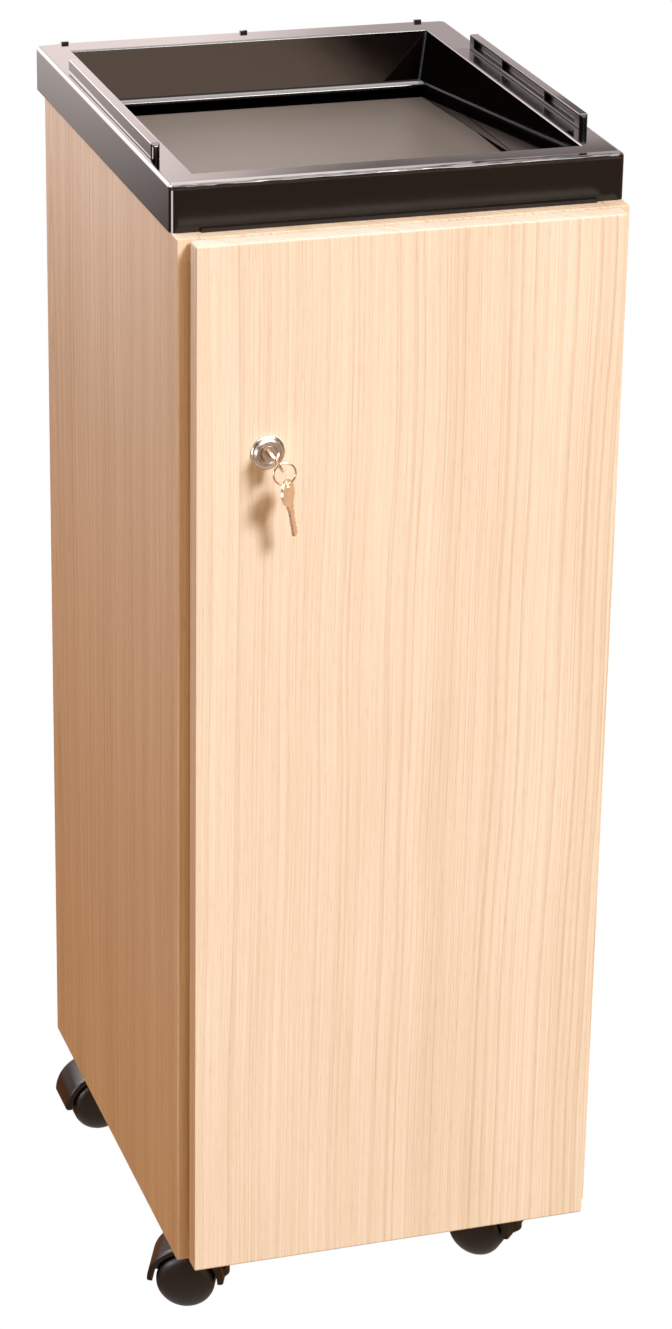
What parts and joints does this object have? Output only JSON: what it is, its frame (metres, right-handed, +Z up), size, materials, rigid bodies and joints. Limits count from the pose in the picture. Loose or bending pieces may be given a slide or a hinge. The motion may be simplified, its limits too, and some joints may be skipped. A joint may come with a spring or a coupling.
{
  "type": "secure shredding console",
  "caption": "Tall lockable board cabinet on swivel castors that collects paper for shredding, with a recessed paper tray and slot on top, a hinged front door and a removable inner bin.",
  "frame": {"origin": "on the ground, under the middle of the overall footprint", "axes": "+X to the right for someone who faces the door, +Y from the door to the back, +Z up"},
  "size_m": [0.3825, 0.4992, 0.9975],
  "materials": {
    "cabinet_board": "light oak foil on board, fine upright grain, satin",
    "door_board": "light oak foil on board, fine upright grain, satin, softly rounded edges",
    "dowel_wood": "plain beech",
    "tray_plastic": "black moulded plastic, semi-gloss",
    "tray_floor_plastic": "dark matt plastic plate",
    "bin_plastic": "dark grey moulded plastic",
    "bumper_rubber": "soft translucent pad",
    "zinc_steel": "zinc-plated steel",
    "lock_chrome": "bright nickel plate",
    "key_metal": "bright nickel plate, lightly worn",
    "castor_plastic": "black moulded plastic, satin",
    "wheel_plastic": "black moulded plastic, dull tread"
  },
  "bodies": {
    "cabinet": {"left_side_panel": "cabinet_board", "right_side_panel": "cabinet_board", "bottom_panel": "cabinet_board", "back_panel": "cabinet_board", "top_rail": "cabinet_board", "connector_cams": "zinc_steel", "connector_bolts": "zinc_steel", "board_dowels": "dowel_wood", "back_screws": "zinc_steel", "tray_cap": "tray_plastic", "tray_floor": "tray_floor_plastic", "left_rail": "tray_plastic", "right_rail": "tray_plastic", "tray_blocks": "tray_plastic", "tray_block_screws": "zinc_steel", "collection_bin": "bin_plastic", "hinge_arms": "zinc_steel", "hinge_plates": "zinc_steel", "hinge_plate_screws": "zinc_steel", "strike_plate": "zinc_steel", "strike_screws": "zinc_steel", "castor_screws": "zinc_steel", "castor_front_left_plate": "zinc_steel", "castor_back_left_plate": "zinc_steel", "castor_front_right_plate": "zinc_steel", "castor_back_right_plate": "zinc_steel"},
    "door": {"door": "door_board", "door_bumpers": "bumper_rubber", "hinge_cups": "zinc_steel", "hinge_pins": "zinc_steel", "hinge_cup_screws": "zinc_steel", "lock_body": "lock_chrome", "lock_nut": "zinc_steel"},
    "lock_core": {"lock_plug": "lock_chrome", "lock_cam": "zinc_steel", "lock_cam_screw": "zinc_steel", "key": "key_metal"},
    "key_ring_body": {"key_ring": "key_metal"},
    "spare_key_body": {"spare_key": "key_metal"},
    "castor_front_left": {"castor_front_left_hood": "castor_plastic", "castor_front_left_kingpin": "zinc_steel", "castor_front_left_axle": "zinc_steel"},
    "castor_front_left_wheel_a": {"castor_front_left_wheel_a": "wheel_plastic"},
    "castor_front_left_wheel_b": {"castor_front_left_wheel_b": "wheel_plastic"},
    "castor_back_left": {"castor_back_left_hood": "castor_plastic", "castor_back_left_kingpin": "zinc_steel", "castor_back_left_axle": "zinc_steel"},
    "castor_back_left_wheel_a": {"castor_back_left_wheel_a": "wheel_plastic"},
    "castor_back_left_wheel_b": {"castor_back_left_wheel_b": "wheel_plastic"},
    "castor_front_right": {"castor_front_right_hood": "castor_plastic", "castor_front_right_kingpin": "zinc_steel", "castor_front_right_axle": "zinc_steel"},
    "castor_front_right_wheel_a": {"castor_front_right_wheel_a": "wheel_plastic"},
    "castor_front_right_wheel_b": {"castor_front_right_wheel_b": "wheel_plastic"},
    "castor_back_right": {"castor_back_right_hood": "castor_plastic", "castor_back_right_kingpin": "zinc_steel", "castor_back_right_axle": "zinc_steel"},
    "castor_back_right_wheel_a": {"castor_back_right_wheel_a": "wheel_plastic"},
    "castor_back_right_wheel_b": {"castor_back_right_wheel_b": "wheel_plastic"}
  },
  "joints": [
    {"name": "door_hinge", "type": "hinge", "parent": "cabinet", "child": "door", "pos_m": [0.1625, -0.206, 0.51], "axis": [0, 0, 1], "range_deg": [0, 95]},
    {"name": "lock_turn", "type": "hinge", "parent": "door", "child": "lock_core", "pos_m": [-0.114, -0.2185, 0.7835], "axis": [0, 1, 0], "range_deg": [0, 90]},
    {"name": "ring_swing", "type": "hinge", "parent": "lock_core", "child": "key_ring_body", "pos_m": [-0.11313, -0.24, 0.7821], "axis": [0.848, 0, 0.5299], "range_deg": [-60, 12]},
    {"name": "spare_key_swing", "type": "hinge", "parent": "key_ring_body", "child": "spare_key_body", "pos_m": [-0.107, -0.24, 0.76616], "axis": [0.9848, 0, 0.1736], "range_deg": [-60, 12]},
    {"name": "castor_front_left_swivel", "type": "hinge", "parent": "cabinet", "child": "castor_front_left", "pos_m": [-0.131, -0.1445, 0.0725], "axis": [0, 0, 1], "continuous": true},
    {"name": "castor_front_left_roll_a", "type": "hinge", "parent": "castor_front_left", "child": "castor_front_left_wheel_a", "pos_m": [-0.15355, -0.13493, 0.025], "axis": [-0.3907, -0.9205, 0], "continuous": true},
    {"name": "castor_front_left_roll_b", "type": "hinge", "parent": "castor_front_left", "child": "castor_front_left_wheel_b", "pos_m": [-0.15355, -0.13493, 0.025], "axis": [-0.3907, -0.9205, 0], "continuous": true},
    {"name": "castor_back_left_swivel", "type": "hinge", "parent": "cabinet", "child": "castor_back_left", "pos_m": [-0.131, 0.1745, 0.0725], "axis": [0, 0, 1], "continuous": true},
    {"name": "castor_back_left_roll_a", "type": "hinge", "parent": "castor_back_left", "child": "castor_back_left_wheel_a", "pos_m": [-0.1555, 0.1745, 0.025], "axis": [0, -1, 0], "continuous": true},
    {"name": "castor_back_left_roll_b", "type": "hinge", "parent": "castor_back_left", "child": "castor_back_left_wheel_b", "pos_m": [-0.1555, 0.1745, 0.025], "axis": [0, -1, 0], "continuous": true},
    {"name": "castor_front_right_swivel", "type": "hinge", "parent": "cabinet", "child": "castor_front_right", "pos_m": [0.131, -0.1445, 0.0725], "axis": [0, 0, 1], "continuous": true},
    {"name": "castor_front_right_roll_a", "type": "hinge", "parent": "castor_front_right", "child": "castor_front_right_wheel_a", "pos_m": [0.11308, -0.12779, 0.025], "axis": [-0.682, -0.7314, 0], "continuous": true},
    {"name": "castor_front_right_roll_b", "type": "hinge", "parent": "castor_front_right", "child": "castor_front_right_wheel_b", "pos_m": [0.11308, -0.12779, 0.025], "axis": [-0.682, -0.7314, 0], "continuous": true},
    {"name": "castor_back_right_swivel", "type": "hinge", "parent": "cabinet", "child": "castor_back_right", "pos_m": [0.131, 0.1745, 0.0725], "axis": [0, 0, 1], "continuous": true},
    {"name": "castor_back_right_roll_a", "type": "hinge", "parent": "castor_back_right", "child": "castor_back_right_wheel_a", "pos_m": [0.15416, 0.18248, 0.025], "axis": [-0.3256, 0.9455, 0], "continuous": true},
    {"name": "castor_back_right_roll_b", "type": "hinge", "parent": "castor_back_right", "child": "castor_back_right_wheel_b", "pos_m": [0.15416, 0.18248, 0.025], "axis": [-0.3256, 0.9455, 0], "continuous": true}
  ]
}
